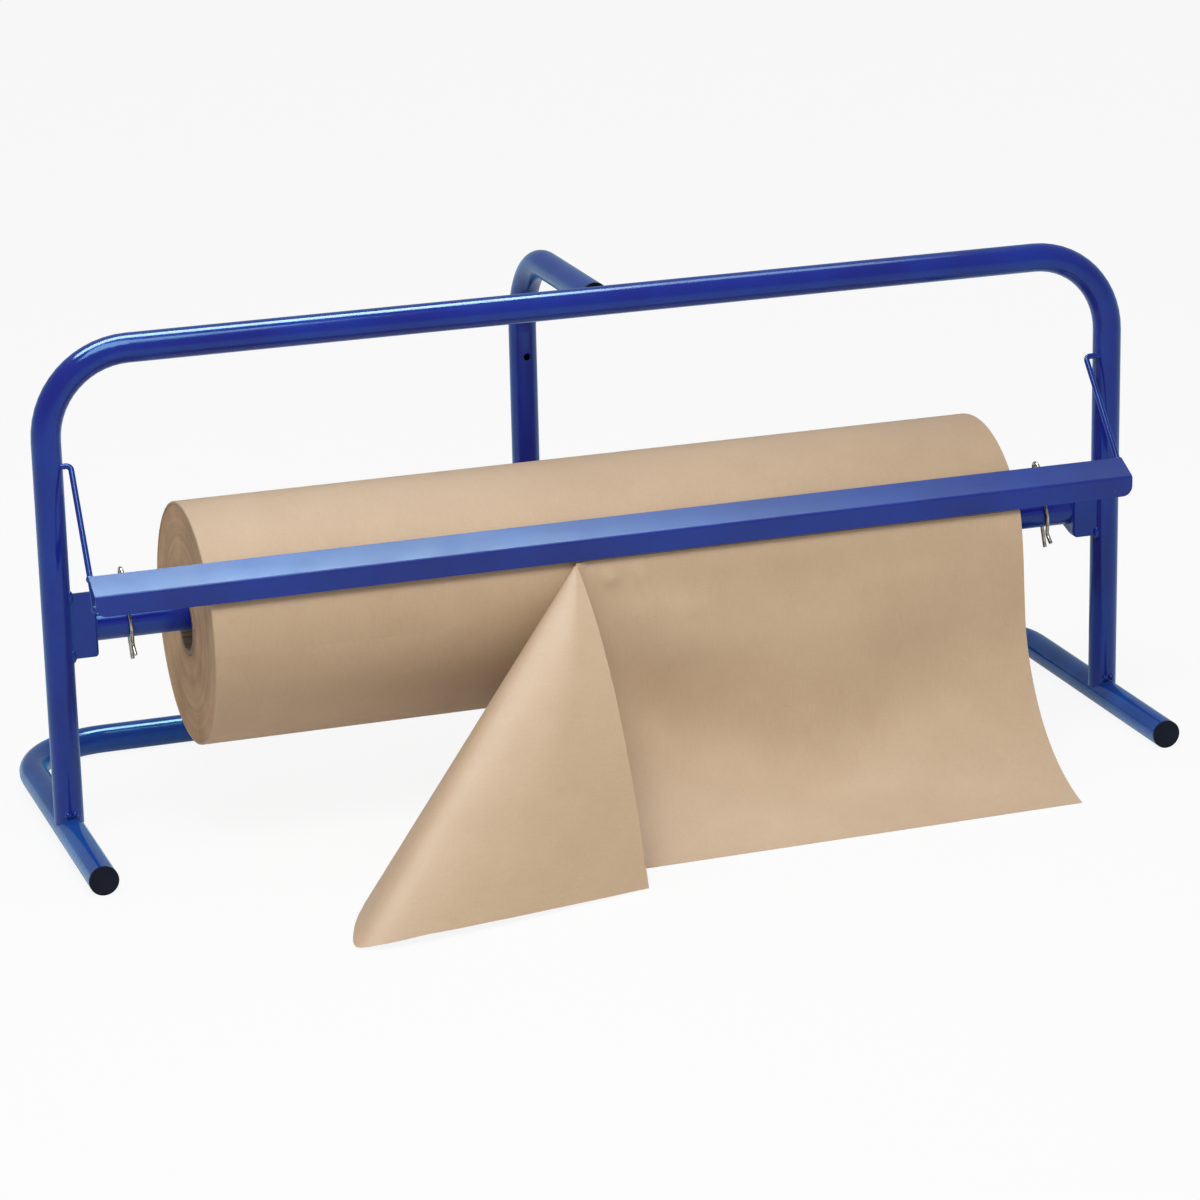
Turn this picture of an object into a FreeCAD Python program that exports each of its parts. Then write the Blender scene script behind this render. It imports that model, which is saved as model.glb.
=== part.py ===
import FreeCAD, Part
import math
import os

# Counter-top paper dispenser: a tube frame carries a roll of wrapping paper on a loose shaft,
# and a hinged bar rests on the roll, so that the paper pulled out below it tears on its edge.
# Millimetres. +X to the right along the roll, +Y to the back, +Z up.
# The origin is on the table, midway between the two upright posts.

Vec = FreeCAD.Vector

# ---------------------------------------------------------------- driving dimensions
# Frame tubes: portal, base and rear stay
TUBE_D = 25.0
TUBE_WALL = 1.5

# Portal: the upright inverted U
PORTAL_WIDTH = 958.0            # between the centres of the posts
RAIL_HEIGHT = 423.0             # centre of the top rail above the table
PORTAL_BEND_R = 72.0            # centreline radius of the upper corners
POST_SEAT = 6.0                 # a post's end above the centre of the tube that it stands on

# Base: the U that lies on the table
FOOT_REACH = 133.0              # from the portal forward to the end of a foot
BASE_DEPTH = 220.0              # from the portal back to the centre of the cross tube
BASE_BEND_R = 78.0

# Rear stay: rises from the cross tube and bends forward to the top rail
STAY_X = 3.5
STAY_RISE = 0.5                 # its arm's centre above the centre of the rail
STAY_BEND_R = 74.0
STAY_HOLE_D = 6.5
STAY_HOLE_Z = 326.5

# Plastic end plugs
PLUG_HEAD = 2.0
PLUG_DOME = 0.8                 # how far the middle of a foot plug's head stands out
PLUG_STUB = 14.0
PLUG_RIBS = 3
PLUG_RIB_W = 1.6
PLUG_RIB_H = 0.6
PLUG_CLEARANCE = 0.1

# Saddle brackets: bent sheet, a front plate and a side flange with a slanted slot
SADDLE_SHEET = 2.5
SADDLE_REACH = 20.5             # from the post's inner side to the flange's inner face
SADDLE_FRONT_Y = -6.5           # outer face of the front plate
SADDLE_DROP = 22.9              # lower edge below the centre of the seat
SADDLE_RISE = 33.6              # upper edge above it
SADDLE_DEPTH = 37.5             # from the front face back to the flange's rear edge
SADDLE_HORN = 20.5              # depth of the flange's horn in front of the slot
SADDLE_HORN_DROP = 7.0          # the horn's rear corner below the top of the front plate
SADDLE_TOE = 4.0                # flat stretch at the bottom before the slanted lower edge
SADDLE_LIP = 4.0                # sheet left below the seat
SADDLE_BEND_R = 3.0
SADDLE_CORNER_R = 3.5           # of the lower corner at the fold
SLOT_ANGLE = 50.0               # lean of the slot towards the back, from upright
SLOT_CLEARANCE = 0.3

# Roll shaft
SHAFT_D = 28.0
SHAFT_WALL = 1.5
SHAFT_Z = 186.4
SHAFT_FRONT_GAP = 0.8           # between the shaft and the back of the saddles' front plates
SHAFT_END_GAP = 4.5             # from the shaft's end to the post
CLIP_HOLE_D = 4.5

# Spring clips through the shaft
CLIP_WIRE_D = 3.5
CLIP_INSET_LEFT = 28.4          # from the flange's inner face to the clip
CLIP_INSET_RIGHT = 25.5
CLIP_TAIL = 34.0                # straight leg below the shaft's centre
CLIP_HEAD = 41.5                # loop's centre above the shaft's centre
CLIP_LOOP_R = 6.0
CLIP_WAIST = 9.0                # bent leg's distance from the straight leg above and below the shaft
CLIP_WAIST_Z = 19.0             # height of those waists from the shaft's centre
CLIP_FLARE = 15.0
CLIP_FLARE_Z = 26.5
CLIP_BEND_R = 4.0
CLIP_GRIP_GAP = 0.1
CLIP_LEAN_LEFT = 5.2            # degrees, loop towards the post
CLIP_LEAN_RIGHT = -8.8

# Paper roll on its cardboard core
CORE_BORE_D = 46.0
CORE_WALL = 5.0
CORE_REST_GAP = 0.3             # between the shaft's top and the core that hangs on it
ROLL_D = 207.2
ROLL_LENGTH = 725.0
ROLL_SHIFT = -5.0               # the roll's middle from the middle of the frame

# Cutter bar: bent sheet with a sloping top and an upright front
BAR_SHEET = 2.0
BAR_END_GAP = 3.0               # from either end to the post
BAR_TOP_WIDTH = 25.6
BAR_FRONT_HEIGHT = 17.6
BAR_FOLD = 63.5                 # turn from its top down to its front, degrees
BAR_TO_ARM = 27.8               # turn from its top down to the line from the pivot to its rear edge
BAR_REACH = 99.2                # from the pivot to its rear edge
BAR_GAP = 0.4                   # between its rear edge and the roll
BAR_BEND_R = 3.0
BAR_CORNER_R = 9.0
BAR_SLOT_W = 3.0                # small slot near the right end of its front
BAR_SLOT_L = 6.0
BAR_SLOT_INSET = 17.5
BAR_SLOT_UP = 5.0

# Wire arms that carry the bar
ARM_D = 5.0
ARM_PIVOT_Y = -6.5
ARM_PIVOT_Z = 330.0
ARM_TOP_INSET_LEFT = 5.5        # from the post's inner side to the arm's upper corner
ARM_TOP_INSET_RIGHT = 11.0
ARM_FOOT_INSET = 5.0
ARM_BEND_R = 4.0
ARM_PIN_DEPTH = 8.0             # length of the hooked end past the post's inner side
ARM_PIN_CLEARANCE = 0.08
ARM_EDGE_GAP = 0.1              # between the wire and the bar's rear edge
ARM_TAIL = 26.0                 # length of the arm inside the bar

# Hanging sheet and its folded corner
SHEET_T = 0.6
SHEET_GAP = 0.3                 # between the roll and the sheet
SHEET_START = 24.0              # degrees above the roll's front where the sheet begins
SHEET_LEAVE = 11.0              # degrees above the roll's front where it leaves the roll
SHEET_SWEEP_Z = 133.0           # height at which its forward sweep to the table begins
SHEET_FOOT_Y = -223.7           # its lower edge on the table, at its right side
SHEET_EDGE_LEAN = 2.1           # degrees by which its right edge leans in
SHEET_TORN_FOOT_Y = -231.0      # its lower edge on the table, below the end of the tear
SHEET_TORN_X = -43.0            # where the tear along the bar ends
FLOOR_GAP = 0.3
FOLD_TOP_INSET = 9.0            # from the end of the tear to the top of the fold
FOLD_TOP_R = 1.4                # outside of the soft fold at its top
FOLD_X = -276.0                 # middle of the soft fold on the table
FOLD_Y = -279.0
FOLD_R = 26.0                   # its outside there, which widens from the top down
FOLD_TURNS = 6                  # flat strips that round it
FLAP_FOOT_X = -56.0             # lower end of the flap's torn edge, on the table
FLAP_FOOT_Y = -273.0

# Weld beads
POST_BEAD_R = 2.8
POST_BEAD_PITCH = 6.4
POST_BEAD_RISE = 4.0            # above the top of the foot tube
SEAM_BEAD_R = 3.2
SEAM_BEAD_LENGTH = 11.0
BAR_BEAD_R = 3.6

# ---------------------------------------------------------------- derived places
TUBE_R = TUBE_D / 2
TUBE_BORE_R = TUBE_R - TUBE_WALL
POST_X = PORTAL_WIDTH / 2
POST_INNER_X = POST_X - TUBE_R
BASE_Z = TUBE_R
STAY_ARM_Z = RAIL_HEIGHT + STAY_RISE
SHAFT_R = SHAFT_D / 2
SHAFT_Y = SADDLE_FRONT_Y + SADDLE_SHEET + SHAFT_FRONT_GAP + SHAFT_R
SHAFT_END_X = POST_INNER_X - SHAFT_END_GAP
SEAT_R = SHAFT_R + SLOT_CLEARANCE
SADDLE_INNER_X = POST_INNER_X - SADDLE_REACH
SADDLE_BOTTOM_Z = SHAFT_Z - SADDLE_DROP
SADDLE_TOP_Z = SHAFT_Z + SADDLE_RISE
CORE_R = CORE_BORE_D / 2 + CORE_WALL
ROLL_R = ROLL_D / 2
ROLL_Y = SHAFT_Y
ROLL_Z = SHAFT_Z - (CORE_BORE_D / 2 - SHAFT_R - CORE_REST_GAP)
ROLL_LEFT_X = ROLL_SHIFT - ROLL_LENGTH / 2
ROLL_RIGHT_X = ROLL_SHIFT + ROLL_LENGTH / 2
BAR_LENGTH = 2 * (POST_INNER_X - BAR_END_GAP)
ARM_R = ARM_D / 2
CLIP_R = CLIP_WIRE_D / 2


# ---------------------------------------------------------------- helpers
def polar(angle):
    """Unit vector in the YZ plane, at an angle in degrees above the front."""
    return Vec(0, -math.cos(math.radians(angle)), math.sin(math.radians(angle)))


def cylinder(radius, start, end):
    return Part.makeCylinder(radius, (end - start).Length, start, end - start)


def rounded_path(points, radii):
    """Wire through the points, with an arc of the given radius at each inner corner."""
    edges = []
    last = points[0]
    for before, corner, after, radius in zip(points, points[1:], points[2:], radii):
        toward = (before - corner).normalize()
        away = (after - corner).normalize()
        half = toward.getAngle(away) / 2
        reach = radius / math.tan(half)
        inward = (toward + away).normalize()
        centre = corner + inward * (radius / math.sin(half))
        start = corner + toward * reach
        end = corner + away * reach
        edges.append(Part.LineSegment(last, start).toShape())
        edges.append(Part.Arc(start, centre - inward * radius, end).toShape())
        last = end
    edges.append(Part.LineSegment(last, points[-1]).toShape())
    return Part.Wire(edges)


def rod(path, radius):
    """Round bar along a wire."""
    first = path.OrderedEdges[0]
    start = first.firstVertex().Point
    direction = first.tangentAt(first.FirstParameter)
    ring = Part.Wire(Part.makeCircle(radius, start, direction))
    return path.makePipeShell([ring], True, True)


def tube(path, outer_r, wall):
    return rod(path, outer_r).cut(rod(path, outer_r - wall))


def extruded_polygon(points, depth):
    return Part.Face(Part.makePolygon(points + points[:1])).extrude(depth)


def mirrored(shape):
    return shape.mirror(Vec(0, 0, 0), Vec(1, 0, 0))


def export(shape, name):
    shape.exportStep("parts/" + name + ".step")


# ---------------------------------------------------------------- frame
def foot_run(side, radius):
    """Straight front part of one base tube, as a solid round bar."""
    x = side * POST_X
    return cylinder(radius, Vec(x, -FOOT_REACH, BASE_Z), Vec(x, BASE_DEPTH - BASE_BEND_R, BASE_Z))


def portal_path():
    low = BASE_Z + POST_SEAT
    corners = [
        Vec(-POST_X, 0, low),
        Vec(-POST_X, 0, RAIL_HEIGHT),
        Vec(POST_X, 0, RAIL_HEIGHT),
        Vec(POST_X, 0, low),
    ]
    return rounded_path(corners, [PORTAL_BEND_R] * 2)


def portal_frame():
    frame = tube(portal_path(), TUBE_R, TUBE_WALL)
    hole_r = ARM_R + ARM_PIN_CLEARANCE
    for side in (-1, 1):
        frame = frame.cut(foot_run(side, TUBE_R))
        axis_start = Vec(side * (POST_INNER_X - TUBE_R), ARM_PIVOT_Y, ARM_PIVOT_Z)
        axis_end = Vec(side * POST_X, ARM_PIVOT_Y, ARM_PIVOT_Z)
        frame = frame.cut(cylinder(hole_r, axis_start, axis_end))
    return frame


def base_frame():
    front = -FOOT_REACH + PLUG_HEAD
    corners = [
        Vec(-POST_X, front, BASE_Z),
        Vec(-POST_X, BASE_DEPTH, BASE_Z),
        Vec(POST_X, BASE_DEPTH, BASE_Z),
        Vec(POST_X, front, BASE_Z),
    ]
    return tube(rounded_path(corners, [BASE_BEND_R] * 2), TUBE_R, TUBE_WALL)


def cross_run(radius):
    """Middle of the cross tube, as a solid round bar."""
    half = POST_X - BASE_BEND_R
    return cylinder(radius, Vec(-half, BASE_DEPTH, BASE_Z), Vec(half, BASE_DEPTH, BASE_Z))


def rear_stay():
    corners = [
        Vec(STAY_X, BASE_DEPTH, BASE_Z + POST_SEAT),
        Vec(STAY_X, BASE_DEPTH, STAY_ARM_Z),
        Vec(STAY_X, TUBE_R + PLUG_HEAD, STAY_ARM_Z),
    ]
    stay = tube(rounded_path(corners, [STAY_BEND_R]), TUBE_R, TUBE_WALL).cut(cross_run(TUBE_R))
    hole_front = Vec(STAY_X, BASE_DEPTH - TUBE_D, STAY_HOLE_Z)
    return stay.cut(cylinder(STAY_HOLE_D / 2, hole_front, Vec(STAY_X, BASE_DEPTH, STAY_HOLE_Z)))


def end_plug(x, front_y, z, dome):
    """Plug pushed into a tube that opens to the front: a head over the tube's end and a ribbed stub."""
    shoulder = Vec(x, front_y + PLUG_HEAD, z)
    plug = cylinder(TUBE_R, Vec(x, front_y, z), shoulder)
    stub_r = TUBE_BORE_R - PLUG_CLEARANCE - PLUG_RIB_H
    plug = plug.fuse(cylinder(stub_r, shoulder, shoulder + Vec(0, PLUG_STUB, 0)))
    pitch = PLUG_STUB / (PLUG_RIBS + 1)
    for number in range(1, PLUG_RIBS + 1):
        rib = shoulder + Vec(0, number * pitch, 0)
        plug = plug.fuse(cylinder(stub_r + PLUG_RIB_H, rib, rib + Vec(0, PLUG_RIB_W, 0)))
    if dome > 0:
        cap_r = (TUBE_R ** 2 + dome ** 2) / (2 * dome)
        ball = Part.makeSphere(cap_r, Vec(x, front_y - dome + cap_r, z))
        slab = cylinder(TUBE_R, Vec(x, front_y - dome, z), Vec(x, front_y, z))
        plug = plug.fuse(ball.common(slab))
    return plug.removeSplitter()


def foot_plug(side):
    return end_plug(side * POST_X, -FOOT_REACH, BASE_Z, PLUG_DOME)


def stay_plug():
    return end_plug(STAY_X, TUBE_R, STAY_ARM_Z, 0)


# ---------------------------------------------------------------- saddle brackets
def slot_direction():
    lean = math.radians(SLOT_ANGLE)
    return Vec(0, math.sin(lean), math.cos(lean))


def slot_cut():
    """Everything that the shaft sweeps in the flange on its way out, with its clearance."""
    seat = Vec(0, SHAFT_Y, SHAFT_Z)
    way = slot_direction() * (2 * SADDLE_DEPTH)
    across = slot_direction().cross(Vec(1, 0, 0)) * SEAT_R
    start_x = Vec(SADDLE_INNER_X - SADDLE_SHEET, 0, 0)
    depth = Vec(3 * SADDLE_SHEET, 0, 0)
    corners = [seat + across, seat + across + way, seat - across + way, seat - across]
    channel = extruded_polygon([start_x + corner for corner in corners], depth)
    return channel.fuse(cylinder(SEAT_R, start_x + seat, start_x + seat + depth))


def saddle_flange():
    front = SADDLE_FRONT_Y
    rear = SADDLE_FRONT_Y + SADDLE_DEPTH
    seat_bottom = SHAFT_Z - SEAT_R - SADDLE_LIP
    outline = [
        (front, SADDLE_BOTTOM_Z),
        (front + SADDLE_TOE, SADDLE_BOTTOM_Z),
        (SHAFT_Y, seat_bottom),
        (SHAFT_Y + SEAT_R, seat_bottom + SADDLE_LIP),
        (rear, SHAFT_Z - SADDLE_LIP),
        (rear, SHAFT_Z + SEAT_R),
        (front + SADDLE_HORN, SADDLE_TOP_Z - SADDLE_HORN_DROP),
        (front, SADDLE_TOP_Z),
    ]
    points = [Vec(SADDLE_INNER_X, y, z) for y, z in outline]
    return extruded_polygon(points, Vec(SADDLE_SHEET, 0, 0)).cut(slot_cut())


def saddle_front():
    width = POST_X - SADDLE_INNER_X
    height = SADDLE_TOP_Z - SADDLE_BOTTOM_Z
    return Part.makeBox(width, SADDLE_SHEET, height, Vec(SADDLE_INNER_X, SADDLE_FRONT_Y, SADDLE_BOTTOM_Z))


def post_run(radius):
    return cylinder(radius, Vec(POST_X, 0, BASE_Z), Vec(POST_X, 0, RAIL_HEIGHT - PORTAL_BEND_R))


def upright_edges(shape, x, y):
    """Upright edges of a shape that stand at one place."""
    found = []
    for edge in shape.Edges:
        box = edge.BoundBox
        upright = box.ZLength > SADDLE_DROP and box.XLength < 0.01 and box.YLength < 0.01
        if upright and abs(box.XMin - x) < 0.01 and abs(box.YMin - y) < 0.01:
            found.append(edge)
    return found


def fold_corner_cut():
    """What is taken off to round the bracket's lower corner at its fold."""
    front = SADDLE_FRONT_Y - SADDLE_SHEET
    centre = Vec(SADDLE_INNER_X + SADDLE_CORNER_R, front, SADDLE_BOTTOM_Z + SADDLE_CORNER_R)
    depth = Vec(0, 2 * SADDLE_DEPTH, 0)
    inward = Vec(-2 * SADDLE_CORNER_R, 0, 0)
    down = Vec(0, 0, -2 * SADDLE_CORNER_R)
    square = extruded_polygon([centre, centre + inward, centre + inward + down, centre + down], depth)
    return square.cut(cylinder(SADDLE_CORNER_R, centre, centre + depth))


def right_saddle():
    bracket = saddle_front().fuse(saddle_flange()).removeSplitter()
    fold = upright_edges(bracket, SADDLE_INNER_X, SADDLE_FRONT_Y)
    bracket = bracket.makeFillet(SADDLE_BEND_R, fold)
    return bracket.cut(fold_corner_cut()).cut(post_run(TUBE_R))


# ---------------------------------------------------------------- welds
def post_beads():
    """Two beads at the front of each post's foot, in the corner between post and foot tube."""
    beads = []
    foot_top = BASE_Z + TUBE_R
    for side in (-1, 1):
        for shift in (-POST_BEAD_PITCH / 2, POST_BEAD_PITCH / 2):
            front = math.sqrt(TUBE_R ** 2 - shift ** 2)
            ball = Part.makeSphere(POST_BEAD_R, Vec(side * POST_X + shift, -front, foot_top + POST_BEAD_RISE))
            post = cylinder(TUBE_R, Vec(side * POST_X, 0, 0), Vec(side * POST_X, 0, RAIL_HEIGHT / 2))
            beads.append(ball.cut(post).cut(foot_run(side, TUBE_R)))
    return Part.makeCompound(beads)


def stay_beads():
    """Two beads on each side of the stay, where it stands on the cross tube."""
    beads = []
    stay = cylinder(TUBE_R, Vec(STAY_X, BASE_DEPTH, 0), Vec(STAY_X, BASE_DEPTH, RAIL_HEIGHT / 2))
    for side in (-1, 1):
        for shift in (-POST_BEAD_PITCH / 2, POST_BEAD_PITCH / 2):
            out = math.sqrt(TUBE_R ** 2 - shift ** 2)
            place = Vec(STAY_X + side * out, BASE_DEPTH + shift, BASE_Z + TUBE_R - 1)
            beads.append(Part.makeSphere(POST_BEAD_R, place).cut(stay).cut(cross_run(TUBE_R)))
    return Part.makeCompound(beads)


def saddle_beads():
    """Upright beads at the top and bottom of each front plate's seam with its post."""
    seam_x = POST_X - math.sqrt(TUBE_R ** 2 - SADDLE_FRONT_Y ** 2)
    bracket = right_saddle()
    beads = []
    for low in (SADDLE_BOTTOM_Z - SEAM_BEAD_R, SADDLE_TOP_Z + SEAM_BEAD_R - SEAM_BEAD_LENGTH):
        start = Vec(seam_x, SADDLE_FRONT_Y, low)
        bead = cylinder(SEAM_BEAD_R, start, start + Vec(0, 0, SEAM_BEAD_LENGTH))
        bead = bead.cut(post_run(TUBE_R)).cut(bracket)
        beads.append(bead)
        beads.append(mirrored(bead))
    return Part.makeCompound(beads)


# ---------------------------------------------------------------- shaft and clips
def clip_axis(side, lean):
    """Direction of a clip's straight leg, upwards."""
    tilt = math.radians(lean)
    return Vec(side * math.sin(tilt), 0, math.cos(tilt))


def clip_centre(side):
    inset = CLIP_INSET_LEFT if side < 0 else CLIP_INSET_RIGHT
    return Vec(side * (SADDLE_INNER_X - inset), SHAFT_Y, SHAFT_Z)


def roll_shaft():
    ends = Part.Wire(Part.LineSegment(
        Vec(-SHAFT_END_X, SHAFT_Y, SHAFT_Z), Vec(SHAFT_END_X, SHAFT_Y, SHAFT_Z)).toShape())
    shaft = tube(ends, SHAFT_R, SHAFT_WALL)
    for side, lean in ((-1, CLIP_LEAN_LEFT), (1, CLIP_LEAN_RIGHT)):
        reach = clip_axis(side, lean) * SHAFT_D
        shaft = shaft.cut(cylinder(CLIP_HOLE_D / 2, clip_centre(side) - reach, clip_centre(side) + reach))
    return shaft


def grip_corner():
    """Distance of the bent leg's outer corner, whose arc then runs round the shaft."""
    ring = SHAFT_R + CLIP_R + CLIP_GRIP_GAP
    a = CLIP_WAIST_Z ** 2 - ring ** 2
    b = 2 * ring ** 2 * CLIP_WAIST
    c = -ring ** 2 * (CLIP_WAIST ** 2 + CLIP_WAIST_Z ** 2)
    return (-b + math.sqrt(b ** 2 - 4 * a * c)) / (2 * a)


def spring_clip(side, lean):
    """Wire clip: a straight leg through the shaft and a bent leg that grips it in front."""
    up = clip_axis(side, lean)
    centre = clip_centre(side)
    ring = SHAFT_R + CLIP_R + CLIP_GRIP_GAP

    def place(forward, height):
        return centre + Vec(0, -forward, 0) + up * height

    corners = [
        place(0, -CLIP_TAIL),
        place(0, CLIP_HEAD + CLIP_LOOP_R),
        place(2 * CLIP_LOOP_R, CLIP_HEAD + CLIP_LOOP_R),
        place(CLIP_WAIST, CLIP_WAIST_Z),
        place(grip_corner(), 0),
        place(CLIP_WAIST, -CLIP_WAIST_Z),
        place(CLIP_FLARE, -CLIP_FLARE_Z),
    ]
    loop_r = CLIP_LOOP_R * 0.9
    return rod(rounded_path(corners, [loop_r, loop_r, CLIP_BEND_R, ring, CLIP_BEND_R]), CLIP_R)


# ---------------------------------------------------------------- roll
def pipe_along_x(outer_r, inner_r):
    start = Vec(ROLL_LEFT_X, ROLL_Y, ROLL_Z)
    end = Vec(ROLL_RIGHT_X, ROLL_Y, ROLL_Z)
    return cylinder(outer_r, start, end).cut(cylinder(inner_r, start, end))


def roll_core():
    return pipe_along_x(CORE_R, CORE_BORE_D / 2)


def paper_roll():
    return pipe_along_x(ROLL_R, CORE_R)


# ---------------------------------------------------------------- cutter bar and arms
def bar_hang():
    """The bar's rear edge as it rests on the roll, and the slope of the line to it from the pivot."""
    pivot = Vec(0, ARM_PIVOT_Y, ARM_PIVOT_Z)
    to_roll = Vec(0, ROLL_Y, ROLL_Z) - pivot
    rest_r = ROLL_R + BAR_GAP
    spread = (BAR_REACH ** 2 + to_roll.Length ** 2 - rest_r ** 2) / (2 * BAR_REACH * to_roll.Length)
    slope = math.atan2(-to_roll.z, -to_roll.y) - math.acos(spread)
    edge = pivot + Vec(0, -math.cos(slope), -math.sin(slope)) * BAR_REACH
    return edge, slope


def bar_frame():
    """The bar's rear inner edge, and the directions along its top, down its front and out of its top."""
    edge, slope = bar_hang()
    top_slope = slope - math.radians(BAR_TO_ARM)
    front_slope = top_slope + math.radians(BAR_FOLD)
    along_top = Vec(0, -math.cos(top_slope), -math.sin(top_slope))
    down_front = Vec(0, -math.cos(front_slope), -math.sin(front_slope))
    out_of_top = Vec(0, along_top.z, -along_top.y)
    return edge, along_top, down_front, out_of_top


def bar_profile():
    """Closed outline of the bent sheet: rear outer edge, crease, lower edge, and back along the inside."""
    edge, along_top, down_front, out_of_top = bar_frame()
    inside = BAR_SHEET * math.tan(math.radians(BAR_FOLD) / 2)
    into_front = Vec(0, -down_front.z, down_front.y)
    rear = edge + out_of_top * BAR_SHEET
    crease = rear + along_top * BAR_TOP_WIDTH
    lower = crease + down_front * BAR_FRONT_HEIGHT
    inner_crease = crease + into_front * BAR_SHEET + down_front * inside
    return [rear, crease, lower, lower + into_front * BAR_SHEET, inner_crease, edge]


def bar_place(x, up, inset):
    """Point on the outer face of the bar's front, up from its lower edge and inset from an end."""
    lower = bar_profile()[2]
    down_front = bar_frame()[2]
    side = 1 if x > 0 else -1
    return lower + Vec(x - side * inset, 0, 0) - down_front * up


def through_front():
    """Vector that passes right through the sheet of the bar's front, from the outside."""
    down_front = bar_frame()[2]
    return Vec(0, -down_front.z, down_front.y) * (3 * BAR_SHEET)


def slot_tool():
    through = through_front()
    half = (BAR_SLOT_L - BAR_SLOT_W) / 2
    middle = bar_place(BAR_LENGTH / 2, BAR_SLOT_UP, BAR_SLOT_INSET) - through / 3
    ends = [middle + Vec(shift, 0, 0) for shift in (-half, half)]
    up = bar_frame()[2] * (-BAR_SLOT_W / 2)
    tool = extruded_polygon([ends[0] - up, ends[1] - up, ends[1] + up, ends[0] + up], through)
    for end in ends:
        tool = tool.fuse(cylinder(BAR_SLOT_W / 2, end, end + through))
    return tool


def cutter_bar():
    half = BAR_LENGTH / 2
    outline = bar_profile()
    crease = outline[1]
    bar = extruded_polygon([point - Vec(half, 0, 0) for point in outline], Vec(BAR_LENGTH, 0, 0))
    bends = []
    for edge in bar.Edges:
        box = edge.BoundBox
        if box.XLength > half and abs(box.YMin - crease.y) < 0.01 and abs(box.ZMin - crease.z) < 0.01:
            bends.append(edge)
    bar = bar.makeFillet(BAR_BEND_R, bends)
    for side in (-1, 1):
        bar = bar.cut(end_corner_cut(side))
    return bar.cut(slot_tool())


def end_corner_cut(side):
    """What is taken off to round one lower end corner of the bar's front."""
    through = through_front()
    centre = bar_place(side * BAR_LENGTH / 2, BAR_CORNER_R, BAR_CORNER_R) - through / 3
    out = Vec(side * 2 * BAR_CORNER_R, 0, 0)
    down = bar_frame()[2] * (2 * BAR_CORNER_R)
    square = extruded_polygon([centre, centre + out, centre + out + down, centre + down], through)
    return square.cut(cylinder(BAR_CORNER_R, centre, centre + through))


def arm_edge_point():
    """Where an arm's centreline passes behind the bar's rear edge."""
    pivot = Vec(0, ARM_PIVOT_Y, ARM_PIVOT_Z)
    edge, slope = bar_hang()
    clear = ARM_R + ARM_EDGE_GAP
    turned = slope + math.asin(clear / BAR_REACH)
    reach = math.sqrt(BAR_REACH ** 2 - clear ** 2)
    return pivot + Vec(0, -math.cos(turned), -math.sin(turned)) * reach


def arm_direction(side):
    edge = arm_edge_point()
    inset = ARM_TOP_INSET_LEFT if side < 0 else ARM_TOP_INSET_RIGHT
    top = Vec(side * (POST_INNER_X - inset), ARM_PIVOT_Y, ARM_PIVOT_Z)
    foot = Vec(side * (POST_INNER_X - ARM_FOOT_INSET), edge.y, edge.z)
    return top, foot, (foot - top).normalize()


def wire_arm(side):
    top, foot, direction = arm_direction(side)
    corners = [
        Vec(side * (POST_INNER_X + ARM_PIN_DEPTH), ARM_PIVOT_Y, ARM_PIVOT_Z),
        top,
        foot + direction * ARM_TAIL,
    ]
    return rod(rounded_path(corners, [ARM_BEND_R]), ARM_R)


def bar_beads():
    """Beads that hold each arm inside the bar: one at the rear edge and one at the front."""
    bar = cutter_bar()
    beads = []
    for side in (-1, 1):
        top, foot, direction = arm_direction(side)
        arm = wire_arm(side)
        for place in (foot, foot + direction * ARM_TAIL):
            beads.append(Part.makeSphere(BAR_BEAD_R, place).cut(arm).cut(bar))
    return Part.makeCompound(beads)


# ---------------------------------------------------------------- hanging sheet
def sheet_curve(x, foot_y, offset):
    """One line down the hanging sheet: round the roll, straight, then forward to the table."""
    axis = Vec(x, ROLL_Y, ROLL_Z)
    radius = ROLL_R + SHEET_GAP
    outward = polar(SHEET_LEAVE)
    down = polar(SHEET_LEAVE - 90)
    leave = axis + outward * radius
    drop = leave + down * ((leave.z - SHEET_SWEEP_Z) / -down.z)
    chord = Vec(x, foot_y, FLOOR_GAP) - drop
    sweep_r = chord.dot(chord) / (2 * chord.dot(outward))
    centre = drop + outward * sweep_r
    arc_r = sweep_r - offset
    start = axis + polar(SHEET_START) * (radius + offset)
    middle = axis + polar((SHEET_START + SHEET_LEAVE) / 2) * (radius + offset)
    foot_angle = math.asin((centre.z - FLOOR_GAP) / arc_r)
    half_angle = (math.radians(-SHEET_LEAVE) + foot_angle) / 2
    sweep_middle = centre + Vec(0, math.cos(half_angle), -math.sin(half_angle)) * arc_r
    foot = centre + Vec(0, math.cos(foot_angle), -math.sin(foot_angle)) * arc_r
    leave = leave + outward * offset
    drop = drop + outward * offset
    return [
        Part.Arc(start, middle, leave).toShape(),
        Part.LineSegment(leave, drop).toShape(),
        Part.Arc(drop, sweep_middle, foot).toShape(),
    ]


def sheet_section(front, back):
    """Closed outline between a front and a back line of the sheet, each three edges from the top down."""
    top = Part.LineSegment(back[0].firstVertex().Point, front[0].firstVertex().Point).toShape()
    foot = Part.LineSegment(front[-1].lastVertex().Point, back[-1].lastVertex().Point).toShape()
    return Part.Wire(front + [foot] + back[::-1] + [top])


def hanging_section(x, foot_y):
    return sheet_section(sheet_curve(x, foot_y, SHEET_T), sheet_curve(x, foot_y, 0))


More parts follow.
